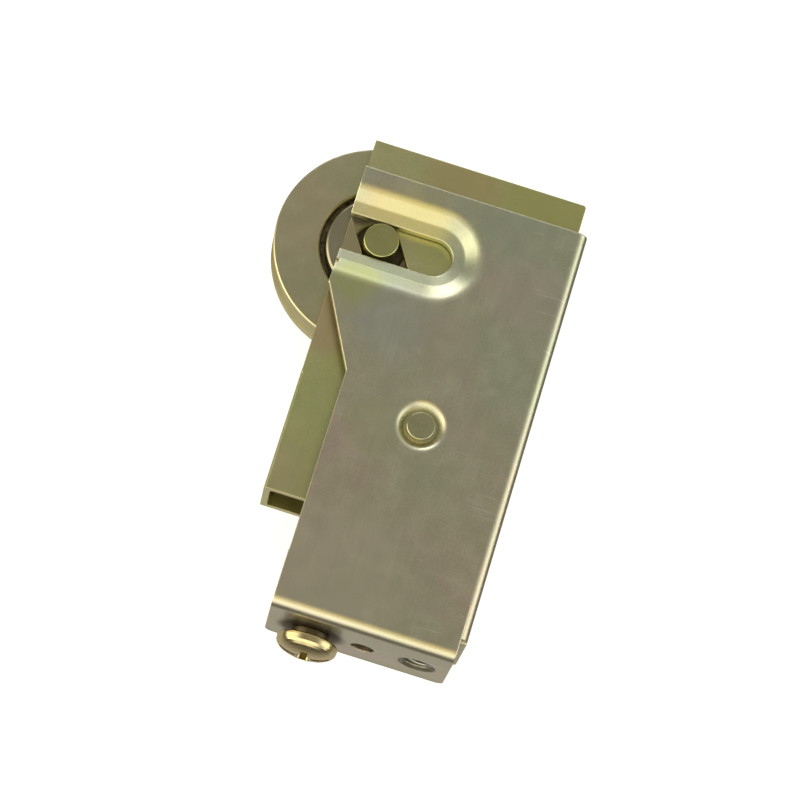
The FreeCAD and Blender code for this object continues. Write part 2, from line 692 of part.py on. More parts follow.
def make_screw():
    """Domed head on a neck that stands it off the flange."""
    shank, neck, head = dim.shank_rad, dim.neck_rad, dim.screw_head
    tip_x, flange_x = dim.screw_tip_x, dim.flange_x
    head_x = flange_x + dim.neck_long
    side_x = head_x + dim.head_side
    top_x = head_x + dim.head_total
    dome = []
    for k in range(1, DOME_CHORDS + 1):
        angle = math.radians(DOME_STEP_DEG * k)
        dome.append((side_x + (dim.head_total - dim.head_side) * math.sin(angle),
                     head * math.cos(angle) ** DOME_POWER))
    shaft = [
        (tip_x, 0.0), (tip_x, shank - dim.tip_bevel), (tip_x + dim.tip_bevel, shank),
        (flange_x, shank), (flange_x, neck - dim.neck_bevel),
        (flange_x + dim.neck_bevel, neck), (head_x, neck)]
    # The head's side, eased by a few hundredths at its edges.
    rim = [(head_x, head - 0.25), (head_x + 0.2, head - 0.03),
           (head_x + dim.head_side * 0.6, head), (side_x, head - 0.04)]
    blank = turned("ScrewBlank", "Screw", shaft + rim + dome + [(top_x, 0.0)], "H_Axis")
    place(blank, (0.0, dim.row_y, dim.screw_z))

    # Drive recess: a deep slot along Y, a shallow one along Z, a tapered core.
    wide, long, deep = dim.cross_wide, dim.cross_long, dim.cross_deep
    recess = [
        box("DriveAcross",
            (top_x - deep, dim.row_y - long / 2.0, dim.screw_z - wide / 2.0),
            (deep + 1.0, long, wide)),
        box("DriveAlong",
            (top_x - dim.slot_deep, dim.row_y - wide / 2.0, dim.screw_z - head - 1.0),
            (dim.slot_deep + 1.0, wide, head * 2.0 + 2.0)),
        cone("DriveCore", (top_x - deep - dim.core_extra, dim.row_y, dim.screw_z),
             dim.core_tip, dim.core_mouth, deep + 0.5, "x"),
    ]
    return cut("AdjustingScrew", blank, fuse("DriveRecess", recess))


def make_retainer():
    """The washer on the screw, just inside the flange."""
    thick = dim.washer_thick
    start_x = dim.flange_x - dim.sheet - dim.washer_gap - thick
    disc = cylinder("RetainerDisc", (start_x, dim.row_y, dim.screw_z),
                    dim.washer_rad, thick, "x")
    bore = cylinder("RetainerBore", (start_x - 1.0, dim.row_y, dim.screw_z),
                    dim.shank_rad, thick + 2.0, "x")
    return cut("ScrewRetainer", disc, bore)


def make_nut():
    """Bevelled block with a square tab at either side and a plain bore."""
    half_x, half_z, bevel = dim.nut_long / 2.0, dim.nut_tall / 2.0, dim.nut_bevel
    body = new_body("NutBlank")
    sketch = outline(body, "NutSection", "XZ_Plane", [
        (bevel - half_x, -half_z), (half_x - bevel, -half_z),
        (half_x, bevel - half_z), (half_x, half_z - bevel),
        (half_x - bevel, half_z), (bevel - half_x, half_z),
        (-half_x, half_z - bevel), (-half_x, bevel - half_z)], -dim.nut_half)
    pad(body, "NutBlock", sketch, dim.nut_half * 2.0)
    place(body, (dim.nut_x, 0.0, dim.screw_z))
    tabs = box("NutTabs",
               (dim.nut_x - dim.tab_half, -dim.tab_end, dim.screw_z - dim.tab_half),
               (dim.tab_half * 2.0, dim.tab_end * 2.0, dim.tab_half * 2.0))
    bore = cylinder("NutThread", (dim.nut_x - 8.0, dim.row_y, dim.screw_z),
                    dim.nut_bore, 16.0, "x")
    return cut("AdjustingNut", fuse("NutSolid", [body, tabs]), bore)


# ---------------------------------------------------------------- write
SUBPARTS = [
    ("housing", make_housing()),
    ("guide_pin", make_guide_pin()),
    ("guide_spacer", make_guide_spacer()),
    ("slider", make_slider()),
    ("adjusting_nut", make_nut()),
    ("adjusting_screw", make_screw()),
    ("screw_retainer", make_retainer()),
    ("axle_pin", make_axle_pin()),
    ("axle_sleeve", make_axle_sleeve()),
    ("inner_race_front", make_race("Front", -1.0)),
    ("inner_race_back", make_race("Back", 1.0)),
    ("bearing_balls", make_balls()),
    ("wheel", make_wheel()),
]
for label, obj in SUBPARTS:
    obj.Label = label
doc.recompute()

bad = [o.Name for o in doc.Objects if "Invalid" in o.State or "Error" in o.State]
if bad:
    raise RuntimeError("features that failed: " + ", ".join(bad))
for label, obj in SUBPARTS:
    shape = obj.Shape
    if shape.isNull() or not shape.isValid():
        raise RuntimeError("sub-part without a valid solid: " + label)
    wanted = int(VALUE["ball_count"]) if label == "bearing_balls" else 1
    if len(shape.Solids) != wanted:
        raise RuntimeError("%s has %d solids" % (label, len(shape.Solids)))
for label, obj in SUBPARTS:
    obj.Shape.exportStep("parts/%s.step" % label)
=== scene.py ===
"""Looks for an adjustable sliding door roller, in the CAD frame.

The adjusting screw runs along X with its head at +X, and the wheel turns about Y.
The floor lies behind the part at +Y, and the camera looks from -Y.
Piece sizes are in mm and are scaled to metres by MM; the floor and world are in metres.
"""

import math
import random

import bmesh
import bpy
from mathutils import Matrix, Vector


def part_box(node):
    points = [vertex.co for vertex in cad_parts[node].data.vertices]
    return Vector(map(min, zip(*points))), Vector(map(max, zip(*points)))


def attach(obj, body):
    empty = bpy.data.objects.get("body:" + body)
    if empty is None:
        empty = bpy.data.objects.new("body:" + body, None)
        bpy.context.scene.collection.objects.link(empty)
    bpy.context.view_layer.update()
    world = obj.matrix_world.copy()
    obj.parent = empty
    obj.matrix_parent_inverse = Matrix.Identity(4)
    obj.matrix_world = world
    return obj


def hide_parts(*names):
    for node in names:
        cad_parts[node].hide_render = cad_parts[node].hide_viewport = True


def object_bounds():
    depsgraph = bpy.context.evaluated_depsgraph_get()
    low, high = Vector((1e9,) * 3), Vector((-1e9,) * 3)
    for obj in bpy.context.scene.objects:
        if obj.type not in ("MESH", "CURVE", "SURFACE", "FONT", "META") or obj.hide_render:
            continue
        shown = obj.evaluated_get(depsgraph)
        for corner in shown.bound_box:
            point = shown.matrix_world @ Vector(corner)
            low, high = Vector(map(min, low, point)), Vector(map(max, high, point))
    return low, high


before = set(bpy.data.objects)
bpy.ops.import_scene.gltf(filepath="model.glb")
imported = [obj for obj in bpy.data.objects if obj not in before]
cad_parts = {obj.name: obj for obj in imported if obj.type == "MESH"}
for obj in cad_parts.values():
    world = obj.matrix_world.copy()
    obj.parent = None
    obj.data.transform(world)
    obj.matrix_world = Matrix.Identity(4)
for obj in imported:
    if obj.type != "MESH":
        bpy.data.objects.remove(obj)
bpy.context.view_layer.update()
scene = bpy.context.scene
random.seed(7)

MM = 0.001
HOLE_Y = 0.8       # the screw and the tapped hole share this y
SCREW_Z = 8.9
TAPPED_Z = 28.26
HEAD_CUT_X = 69.0  # the CAD screw is kept from here to +X

# turning axes: direction and a point on the axis
WHEEL_AXIS = ("Y", (0.0, 0.0, 0.0))
RIVET_AXIS = ("Y", (31.53, 0.0, 16.5))
SCREW_AXIS = ("X", (0.0, HOLE_Y, SCREW_Z))


# ------------------------------------------------------------------ node trees
class Tree:
    """Builds a node tree. Any input may be a socket to link or a plain value."""

    def __init__(self, owner):
        owner.use_nodes = True
        self.nodes = owner.node_tree.nodes
        self.links = owner.node_tree.links
        self.nodes.clear()

    def new(self, kind, inputs=None, **props):
        node = self.nodes.new("ShaderNode" + kind)
        for key, value in props.items():
            setattr(node, key, value)
        for key, value in (inputs or {}).items():
            socket = node.inputs[key]
            if isinstance(value, bpy.types.NodeSocket):
                self.links.new(value, socket)
            elif socket.type == "RGBA":
                socket.default_value = (*value, 1.0)
            else:
                socket.default_value = value
        return node

    def coords(self, kind):
        return self.new("TexCoord").outputs[kind]

    def split(self, vector):
        return self.new("SeparateXYZ", {0: vector}).outputs

    def mapped(self, vector, scale=(1, 1, 1), rot=(0, 0, 0), loc=(0, 0, 0)):
        inputs = {"Vector": vector, "Scale": scale, "Rotation": rot, "Location": loc}
        return self.new("Mapping", inputs).outputs["Vector"]

    def noise(self, vector, scale=1.0, detail=3.0, rough=0.55, distort=0.0):
        inputs = {"Vector": vector, "Scale": scale, "Detail": detail,
                  "Roughness": rough, "Distortion": distort}
        return self.new("TexNoise", inputs).outputs["Fac"]

    def streaks(self, vector, scale, rot=(0, 0, 0)):
        """Noise drawn out along the axes with a small scale."""
        return self.noise(self.mapped(vector, scale, rot), detail=1.0, rough=0.4)

    def ramp(self, value, stops, mode="LINEAR"):
        """Stops are (position, grey level or colour)."""
        node = self.new("ValToRGB", {"Fac": value})
        node.color_ramp.interpolation = mode
        elements = node.color_ramp.elements
        while len(elements) < len(stops):
            elements.new(0.5)
        for element, (position, colour) in zip(elements, stops):
            if not isinstance(colour, tuple):
                colour = (colour,) * 3
            element.position = position
            element.color = (*colour, 1.0)
        return node.outputs["Color"]

    def rise(self, value, start, end, mode="LINEAR"):
        """0 below start, 1 above end."""
        return self.ramp(value, [(start, 0.0), (end, 1.0)], mode)

    def fall(self, value, start, end, mode="LINEAR"):
        """1 below start, 0 above end."""
        return self.ramp(value, [(start, 1.0), (end, 0.0)], mode)

    def mix(self, amount, under, over, mode="MIX"):
        inputs = {0: amount, 6: under, 7: over}
        return self.new("Mix", inputs, data_type="RGBA", blend_type=mode).outputs[2]

    def math(self, operation, first, second=0.0, *third, clamp=False):
        inputs = dict(enumerate((first, second, *third)))
        return self.new("Math", inputs, operation=operation, use_clamp=clamp).outputs[0]

    def times(self, first, second):
        return self.math("MULTIPLY", first, second)

    def minus(self, first, second):
        return self.math("SUBTRACT", first, second)

    def scale_add(self, value, scale, added, clamp=False):
        return self.math("MULTIPLY_ADD", value, scale, added, clamp=clamp)

    def vector_math(self, operation, first, second):
        node = self.new("VectorMath", {0: first, 1: second}, operation=operation)
        return node.outputs["Value"]

    def length(self, first, second):
        """Length of the hypotenuse over two sides."""
        squares = self.times(first, first), self.times(second, second)
        return self.math("SQRT", self.math("ADD", *squares))


# ------------------------------------------------------------------ plated finish
SCRATCH_TINT = (0.80, 0.78, 0.70)
GRAIN_TINT = (0.30, 0.28, 0.20)
RUB_TINT = (0.86, 0.83, 0.72)
# painted shade: the tint that ambient occlusion mixes into corners and creases
CORNER_SHADE_TINT = (0.23, 0.20, 0.13)


def film_colour(tree, place, film, mottle):
    """The base tint with soft green, pink and pale clouds; also returns the pale cloud noise."""
    base, green, pink, pale = film
    broad = tree.noise(place, scale=34.0, rough=0.5, distort=0.35)
    second = tree.noise(tree.mapped(place, loc=(0.5, 0.2, 0.9)),
                        scale=52.0, detail=4.0, distort=0.6)
    cloud = tree.noise(tree.mapped(place, loc=(0.2, 0.8, 0.3)),
                       scale=240.0, detail=4.0, rough=0.6, distort=0.4)
    colour = base
    # noise, where the tint starts and is full, strength, tint
    for noise, start, end, strength, tint in ((broad, 0.42, 0.66, 0.75, green),
                                              (second, 0.50, 0.72, 0.60, pink),
                                              (cloud, 0.45, 0.75, 0.22, pale)):
        amount = tree.times(tree.rise(noise, start, end), strength * mottle)
        colour = tree.mix(amount, colour, tint)
    return colour, cloud


def rolling_marks(tree, place, across):
    """Fine and wide marks that change quickly along Z."""
    fine = tree.noise(tree.mapped(place, (60.0, 60.0, across)), rough=0.65)
    wide = tree.noise(tree.mapped(place, (30.0, 30.0, across * 0.14)), detail=2.0, rough=0.5)
    return fine, wide


def lathe_rings(tree, place, turned, offset):
    """Rings round the turning axis."""
    axis, centre = turned
    split = tree.split(place)
    squares = []
    for i, letter in enumerate("XYZ"):
        if letter != axis:
            side = tree.minus(split[i], centre[i] * MM + offset[i])
            squares.append(tree.math("POWER", side, 2.0))
    radius = tree.math("SQRT", tree.math("ADD", *squares))
    along = split["XYZ".index(axis)]
    rings = tree.new("CombineXYZ", {0: tree.times(radius, 2800.0), 1: tree.times(along, 900.0)})
    return tree.noise(rings.outputs[0], rough=0.65)


def scratch_mask(tree, place):
    """Two sets of stray scratches, present only in some areas."""
    first = tree.streaks(place, scale=(90.0, 600.0, 5200.0), rot=(0.1, 0.35, 0.05))
    second = tree.streaks(place, scale=(4300.0, 600.0, 110.0), rot=(0.0, 0.5, 0.1))
    areas = tree.rise(tree.noise(place, scale=70.0, detail=2.0, rough=0.5), 0.48, 0.62)
    both = tree.math("ADD", tree.rise(first, 0.70, 0.745), tree.rise(second, 0.72, 0.765),
                     clamp=True)
    return tree.times(both, areas)


def polish_tread(tree, colour, rings, tints):
    """Ring marks in two tints on surfaces that turn away from the wheel's faces."""
    facing = tree.math("ABSOLUTE", tree.split(tree.coords("Normal"))[1])
    away = tree.fall(facing, 0.70, 0.90)
    ringed = tree.mix(tree.rise(rings, 0.40, 0.62), *tints)
    return tree.mix(tree.times(away, 0.85), colour, ringed)


def add_patch(tree, colour, raw, patch):
    """A soft round patch with an uneven edge."""
    centre, reach, strength, tint = patch
    distance = tree.vector_math("DISTANCE", raw, tuple(c * MM for c in centre))
    uneven = tree.minus(tree.noise(raw, scale=260.0, rough=0.5), 0.5)
    distance = tree.scale_add(uneven, reach * 0.6 * MM, distance)
    near = tree.fall(tree.math("DIVIDE", distance, reach * MM), 0.45, 1.0, "EASE")
    return tree.mix(tree.times(near, strength), colour, tint)


def dark_ring_mask(tree, raw, dark_ring):
    """A round dark ring about an axis along X, between two x planes (painted shade round the
    screw).
    """
    z, full, outer, x_min, x_max, strength, _ = dark_ring
    split = tree.split(raw)
    radius = tree.length(tree.minus(split[1], HOLE_Y * MM), tree.minus(split[2], z * MM))
    uneven = tree.minus(tree.noise(raw, scale=700.0, rough=0.6), 0.5)
    radius = tree.scale_add(uneven, 0.0012 if outer > 4 else 0.0003, radius)
    near = tree.math("DIVIDE", tree.minus(outer * MM, radius), (outer - full) * MM, clamp=True)
    near = tree.times(near, tree.math("GREATER_THAN", split[0], x_min * MM))
    near = tree.times(near, tree.math("LESS_THAN", split[0], x_max * MM))
    return tree.times(near, strength)


def add_rubs(tree, colour, raw):
    """Short light rub marks in a band of z (metres), near the sheet's web bend."""
    z = tree.split(raw)[2]
    zone = tree.times(tree.math("DIVIDE", tree.minus(z, 0.022), 0.008, clamp=True),
                      tree.math("DIVIDE", tree.minus(0.036, z), 0.003, clamp=True))
    marks = tree.streaks(raw, scale=(2400.0, 300.0, 90.0), rot=(0, 0.12, 0))
    areas = tree.streaks(raw, scale=(130.0, 60.0, 160.0))
    rub = tree.times(tree.rise(marks, 0.66, 0.74), tree.rise(areas, 0.50, 0.60))
    return tree.mix(tree.times(tree.times(rub, zone), 0.8), colour, RUB_TINT)


def plated(name, film, seed, rough=0.34, mottle=1.0, scratch=0.5, edge=0.16, across=2600.0,
           turned=None, metal=1.0, corner_shade=0.35, bump=1.0, grain=1.0, edge_wear_highlight_tint=None,
           rubs=False, tread=None, patches=(), dark_rings=()):
    """Yellow chromate over zinc: a thin film that drifts between tints, over fine marks.

    film: base, green, pink and pale tints
    seed: shifts the pattern; mottle, scratch, corner_shade (painted shade in corners), bump,
    grain: strengths
    edge: width of worn edges (mm), tinted edge_wear_highlight_tint or else the pale tint; worn
    metal that also paints the edge highlight
    across: how close the rolling marks lie; turned: an axis for lathe rings instead
    tread: two ring tints
    patches: centre (mm), reach (mm), strength, tint
    dark_rings: centre z, full and outer radius, x from, x to (mm), strength, tint
    """
    mat = bpy.data.materials.new(name)
    tree = Tree(mat)
    offset = (seed * 0.37, seed * 0.11, seed * 0.23)
    place = tree.mapped(tree.coords("Object"), loc=offset)
    colour, cloud = film_colour(tree, place, film, mottle)
    fine = tree.noise(place, scale=2600.0, rough=0.7)
    if turned:
        lines = wide = lathe_rings(tree, place, turned, offset)
    else:
        lines, wide = rolling_marks(tree, place, across)
    scratches = scratch_mask(tree, place)
    colour = tree.mix(tree.times(scratches, 0.35 * scratch), colour, SCRATCH_TINT)
    specks = tree.times(tree.fall(fine, 0.35, 0.6), min(1.0, 0.12 * grain))
    colour = tree.mix(specks, colour, GRAIN_TINT)

    # local marks, placed in the unshifted frame
    if tread:
        colour = polish_tread(tree, colour, lines, tread)
    raw = tree.coords("Object") if patches or dark_rings or rubs else None
    for patch in patches:
        colour = add_patch(tree, colour, raw, patch)
    ring_darkness = None
    # dark rings; the ones round the screw are painted shade and shadow
    for dark_ring in dark_rings:
        near = dark_ring_mask(tree, raw, dark_ring)
        colour = tree.mix(near, colour, dark_ring[-1])
        ring_darkness = tree.math("MAXIMUM", ring_darkness, near) if ring_darkness else near
    if rubs:
        colour = add_rubs(tree, colour, raw)

    # painted shade in corners from ambient occlusion; bare bright metal on worn edges, tinted
    # pale so that it also paints the edge highlight
    occlusion = tree.new("AmbientOcclusion", {"Distance": 0.0035}, samples=6, only_local=False)
    shade_in_corners = tree.minus(1.0, occlusion.outputs["AO"])
    colour = tree.mix(tree.times(shade_in_corners, corner_shade), colour, CORNER_SHADE_TINT)
    rounded = tree.new("Bevel", {"Radius": edge * MM}, samples=6).outputs[0]
    flat = tree.new("NewGeometry").outputs["Normal"]
    bend = tree.minus(1.0, tree.vector_math("DOT_PRODUCT", rounded, flat))
    worn_edge_highlight = tree.times(tree.rise(bend, 0.02, 0.16), 0.75 if edge_wear_highlight_tint else 0.55)
    colour = tree.mix(worn_edge_highlight, colour, edge_wear_highlight_tint or film[-1])

    # roughness: clouds, marks and corners dull it, scratches polish it, the dark rings dull it
    dull = tree.scale_add(cloud, 0.10, rough - 0.05)
    dull = tree.scale_add(lines, 0.10, tree.minus(dull, 0.05))
    dull = tree.scale_add(shade_in_corners, 0.12, dull)
    dull = tree.scale_add(scratches, -0.06 * scratch, dull, clamp=True)
    if ring_darkness:
        dull = tree.scale_add(ring_darkness, 0.10, dull, clamp=True)

    # relief (mm): slow waviness, marks, scratches, plating grain
    height = tree.times(tree.noise(place, scale=120.0, detail=2.0, rough=0.4), 0.055 * bump)
    for source, depth in ((lines, 0.0026), (wide, 0.0022),
                          (scratches, -0.004 * scratch), (fine, 0.0020 * grain)):
        height = tree.scale_add(source, depth * bump, height)
    relief = tree.new("Bump", {"Strength": 1.0, "Distance": MM, "Height": height,
                               "Normal": rounded})
    surface = tree.new("BsdfPrincipled", {"Base Color": colour, "Metallic": metal,
                                          "Roughness": dull, "Normal": relief.outputs[0]})
    tree.new("OutputMaterial", {0: surface.outputs[0]})
    return mat


# ------------------------------------------------------------------ materials
sheet = plated(
    "plated_sheet", seed=1.0, scratch=0.8, mottle=1.35, edge=0.36, grain=1.7, rubs=True,
    film=((0.69, 0.61, 0.425), (0.60, 0.63, 0.42), (0.745, 0.575, 0.475), (0.84, 0.79, 0.60)),
    # cream edge tint: worn bare edges, brightened to paint the edge highlight
    edge_wear_highlight_tint=(0.98, 0.89, 0.60),
    patches=(((9.4, -9.95, -1.8), 6.5, 0.75, (0.62, 0.64, 0.27)),
             ((33.7, -9.95, 9.0), 7.0, 0.45, (0.60, 0.63, 0.36)),
             ((14.5, -9.95, 6.0), 9.0, 0.55, (0.56, 0.60, 0.50)),
             ((-9.2, -9.95, 23.1), 9.0, 0.40, (0.55, 0.59, 0.42)),
             ((16.5, -9.95, 17.4), 8.0, 0.40, (0.68, 0.56, 0.43)),
             ((3.0, -9.95, 28.4), 10.0, 0.40, (0.66, 0.57, 0.46)),
             ((62.0, -9.95, 10.0), 17.0, 0.70, (0.71, 0.64, 0.47)),
             ((-5.2, -8.4, 3.0), 10.0, 0.42, (0.80, 0.72, 0.34))),
    # dark rings: round the screw a painted shadow and reflection of the screw head on the
    # flange; a ring round the tapped hole and a spot between them
    dark_rings=((SCREW_Z, 5.0, 6.5, 69.9, 75.0, 0.90, (0.12, 0.065, 0.025)),
            (TAPPED_Z, 3.3, 3.6, 69.0, 75.0, 0.78, (0.10, 0.09, 0.065)),
            (18.3, 2.1, 2.35, 68.6, 75.0, 0.62, (0.14, 0.11, 0.06))))
slider = plated(
    "plated_slider", seed=2.3, rough=0.32, mottle=0.85, across=2200.0, edge=0.20,
    film=((0.75, 0.745, 0.32), (0.69, 0.745, 0.32), (0.80, 0.66, 0.40), (0.86, 0.80, 0.52)),
    edge_wear_highlight_tint=(0.92, 0.78, 0.50),
    patches=(((-0.3, -6.0, -4.8), 8.0, 0.80, (0.56, 0.46, 0.27)),
             ((16.8, -6.0, -5.3), 8.0, 0.75, (0.78, 0.60, 0.35)),
             ((-1.9, -6.0, 10.0), 6.0, 0.45, (0.68, 0.66, 0.26)),
             ((44.7, -6.0, -1.4), 9.0, 0.35, (0.74, 0.68, 0.34)),
             ((-16.5, -6.0, 11.0), 10.0, 0.65, (0.72, 0.58, 0.27)),
             ((-15.5, -6.0, 27.0), 11.0, 0.65, (0.66, 0.64, 0.22))))
wheel = plated(
    "plated_wheel", seed=3.1, rough=0.36, turned=WHEEL_AXIS, edge=0.08, mottle=1.2,
    film=((0.62, 0.565, 0.33), (0.57, 0.57, 0.33), (0.66, 0.53, 0.34), (0.72, 0.68, 0.50)),
    edge_wear_highlight_tint=(0.84, 0.80, 0.68), tread=((0.66, 0.58, 0.27), (0.86, 0.76, 0.42)))
turned_part = plated(
    "plated_turned", seed=4.7, rough=0.30, turned=WHEEL_AXIS, edge=0.05,
    film=((0.585, 0.54, 0.20), (0.53, 0.56, 0.21), (0.63, 0.50, 0.24), (0.66, 0.62, 0.34)))
rivet = plated(
    "plated_rivet", seed=5.2, rough=0.28, turned=RIVET_AXIS, edge=0.12,
    film=((0.62, 0.58, 0.29), (0.57, 0.59, 0.29), (0.64, 0.55, 0.31), (0.80, 0.80, 0.70)))
screw = plated(
    "plated_screw", seed=6.4, rough=0.20, corner_shade=0.75, bump=0.6, turned=SCREW_AXIS, edge=0.10,
    film=((0.80, 0.64, 0.33), (0.72, 0.64, 0.33), (0.82, 0.58, 0.35), (0.86, 0.76, 0.50)),
    edge_wear_highlight_tint=(0.90, 0.76, 0.42),
    # painted shade on the neck and on the underside of the head
    dark_rings=((SCREW_Z, 3.8, 4.4, 69.0, 71.70, 0.96, (0.035, 0.02, 0.01)),
            (SCREW_Z, 5.9, 6.4, 71.6, 72.0, 0.7, (0.12, 0.08, 0.035))))
race = plated(
    "race_steel", seed=7.9, rough=0.33, turned=WHEEL_AXIS, edge=0.12,
    film=((0.44, 0.395, 0.26), (0.41, 0.40, 0.25), (0.46, 0.37, 0.25), (0.54, 0.49, 0.35)),
    edge_wear_highlight_tint=(0.50, 0.46, 0.32),
    # a near-black patch below and right of the axle: painted shadow round the axle pin
    patches=(((3.4, -7.0, 4.2), 4.6, 0.92, (0.06, 0.045, 0.028)),))
steel = plated(
    "plain_steel", seed=8.8, rough=0.36, mottle=0.5, turned=SCREW_AXIS, edge=0.08,
    film=((0.50, 0.50, 0.48), (0.49, 0.51, 0.48), (0.52, 0.49, 0.46), (0.62, 0.62, 0.60)))
# near-black steel for the balls and the axle sleeve: greasy, and darkened to paint the shade in
# the gaps round them
shaded_greasy_steel = plated(
    "greasy_steel_painted_shade", seed=9.5, rough=0.50, mottle=0.6, scratch=0.2, edge=0.02, bump=0.35,
    corner_shade=0.7,
    film=((0.065, 0.058, 0.038), (0.06, 0.06, 0.038), (0.07, 0.055, 0.038), (0.09, 0.08, 0.055)))
# a dark grease filler in the ball gap, also painting the gap's shade
shaded_grease_fill = plated(
    "bearing_grease_painted_shade", seed=11.2, rough=0.42, metal=0.0, scratch=0.0, edge=0.03, bump=0.8,
    corner_shade=0.15,
    film=((0.105, 0.088, 0.040), (0.10, 0.095, 0.040), (0.12, 0.085, 0.045), (0.15, 0.13, 0.07)))

NODE_MATERIALS = {
    "housing": sheet, "guide_pin": rivet, "guide_spacer": steel, "slider": slider,
    "adjusting_nut": turned_part, "adjusting_screw": screw, "screw_retainer": steel,
    "axle_pin": turned_part, "axle_sleeve": shaded_greasy_steel, "inner_race_front": race,
    "inner_race_back": race, "bearing_balls": shaded_greasy_steel, "wheel": wheel,
}
for node_name, mat in NODE_MATERIALS.items():
    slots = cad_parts[node_name].data.materials
    slots.clear()
    slots.append(mat)


# ------------------------------------------------------------------ added pieces
def add_object(name, data):
    obj = bpy.data.objects.new(name, data)
    scene.collection.objects.link(obj)
    return obj


def mesh_object(name, verts, faces, mat):
    """A smooth object from vertices in mm."""
    mesh = bpy.data.meshes.new(name)
    mesh.from_pydata([tuple(c * MM for c in v) for v in verts], [], faces)
    mesh.update()
    bm = bmesh.new()
    bm.from_mesh(mesh)
    bmesh.ops.recalc_face_normals(bm, faces=bm.faces)
    bm.to_mesh(mesh)
    bm.free()
    for polygon in mesh.polygons:
        polygon.use_smooth = True
    mesh.materials.append(mat)
    return add_object(name, mesh)


def around_x(x, radius, angle, z):
    """A point about the axis along X at HOLE_Y and z."""
    return x, HOLE_Y + radius * math.cos(angle), z + radius * math.sin(angle)


def swept_faces(steps, count):
    """Faces joining steps + 1 closed loops of count vertices, capped at both ends."""
    faces = []
    for i in range(steps):
        for j in range(count):
            a, b = i * count + j, i * count + (j + 1) % count
            faces.append((a, b, b + count, a + count))
    faces.append(tuple(range(count)))
    faces.append(tuple(steps * count + j for j in range(count)))
    return faces


def screw_head():
    """The CAD head, cut from its shank and closed."""
    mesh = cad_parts["adjusting_screw"].data.copy()
    mesh.name = "screw_head"
    bm = bmesh.new()
    bm.from_mesh(mesh)
    cut = bmesh.ops.bisect_plane(bm, geom=bm.verts[:] + bm.edges[:] + bm.faces[:],
                                 plane_co=(HEAD_CUT_X * MM, 0, 0), plane_no=(1, 0, 0),
                                 clear_inner=True)
    rim = [e for e in cut["geom_cut"] if isinstance(e, bmesh.types.BMEdge)]
    bmesh.ops.holes_fill(bm, edges=rim)
    bm.to_mesh(mesh)
    bm.free()
    return add_object("screw_head", mesh)


def threaded_shank(x_start, x_end, major, minor, pitch):
    """A right-hand V thread on a round shank, with a tapered tip and a plain neck."""
    around, steps_per_pitch = 48, 8
    taper_length, taper_depth = 0.9, 0.7
    neck_length, runout = 1.6, 1.0
    steps = int(round((x_end - x_start) / pitch * steps_per_pitch))
    verts = []
    for i in range(steps + 1):
        x = x_start + (x_end - x_start) * i / steps
        lead = min(1.0, (x - x_start) / taper_length)
        tail = min(1.0, max(0.0, (x_end - neck_length - x) / runout))
        for j in range(around):
            angle = 2 * math.pi * j / around
            phase = (x / pitch - angle / (2 * math.pi)) % 1.0
            ridge = 1.0 - min(1.0, abs(phase - 0.5) * 2.5)
            radius = minor + (major - minor) * ridge * tail - (1.0 - lead) * taper_depth
            verts.append(around_x(x, radius, angle, SCREW_Z))
    return mesh_object("screw_shank", verts, swept_faces(steps, around), screw)


def hole_thread(x_start, x_end, wall, crest, pitch):
    """The standing ridge of a right-hand thread inside the tapped hole."""
    sunk = 0.03  # the ridge's root lies this far inside the wall
    fade_steps = 10
    turns = (x_end - x_start) / pitch
    steps = int(turns * 48)
    verts = []
    for i in range(steps + 1):
        angle = 2 * math.pi * turns * i / steps
        x = x_start + (x_end - x_start) * i / steps
        grow = min(1.0, i / fade_steps, (steps - i) / fade_steps)
        half = pitch * 0.36 * max(grow, 0.05)
        top = wall - (wall - crest) * grow
        for shift, radius in ((-half, wall + sunk), (-half * 0.22, top),
                              (half * 0.22, top), (half, wall + sunk)):
            verts.append(around_x(x + shift, radius, angle, TAPPED_Z))
    return mesh_object("tapped_thread", verts, swept_faces(steps, 4), steel)


def grease_shade_ring(inner, outer, half_width):
    """Grease between the balls, made dark to paint the shade of the ball gap: a ring about Y
    with an uneven face on either side.
    """
    around, rings = 168, 5
    verts, faces = [], []
    for side in (-1, 1):
        for j in range(rings):
            radius = inner + (outer - inner) * j / (rings - 1)
            hollow = 0.22 * math.sin(math.pi * j / (rings - 1))
            for i in range(around):
                angle = 2 * math.pi * i / around
                uneven = 1 + 0.5 * math.sin(14 * angle) + 0.25 * math.sin(5 * angle + 1.3)
                y = side * (half_width - hollow * uneven)
                verts.append((radius * math.cos(angle), y, radius * math.sin(angle)))
    side_count = rings * around
    for base, order in ((0, 1), (side_count, -1)):
        for j in range(rings - 1):
            for i in range(around):
                a = base + j * around + i
                b = base + j * around + (i + 1) % around
                faces.append((a, b, b + around, a + around)[::order])
    for j in (0, rings - 1):
        for i in range(around):
            a, b = j * around + i, j * around + (i + 1) % around
            faces.append((a, b, b + side_count, a + side_count))
    return mesh_object("bearing_grease_painted_shade", verts, faces, shaded_grease_fill)


head = screw_head()
screw_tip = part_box("adjusting_screw")[0][0] / MM
shank = threaded_shank(x_start=screw_tip, x_end=HEAD_CUT_X + 0.1,
                       major=2.69, minor=2.18, pitch=1.058)
for piece in (head, shank):
    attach(piece, "screw")
    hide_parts("adjusting_screw")

tapped = hole_thread(x_start=67.75, x_end=69.75, wall=2.65, crest=2.32, pitch=1.27)
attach(tapped, "housing")

gap_grease_shade = grease_shade_ring(inner=9.66, outer=10.74, half_width=1.75)
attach(gap_grease_shade, "balls")


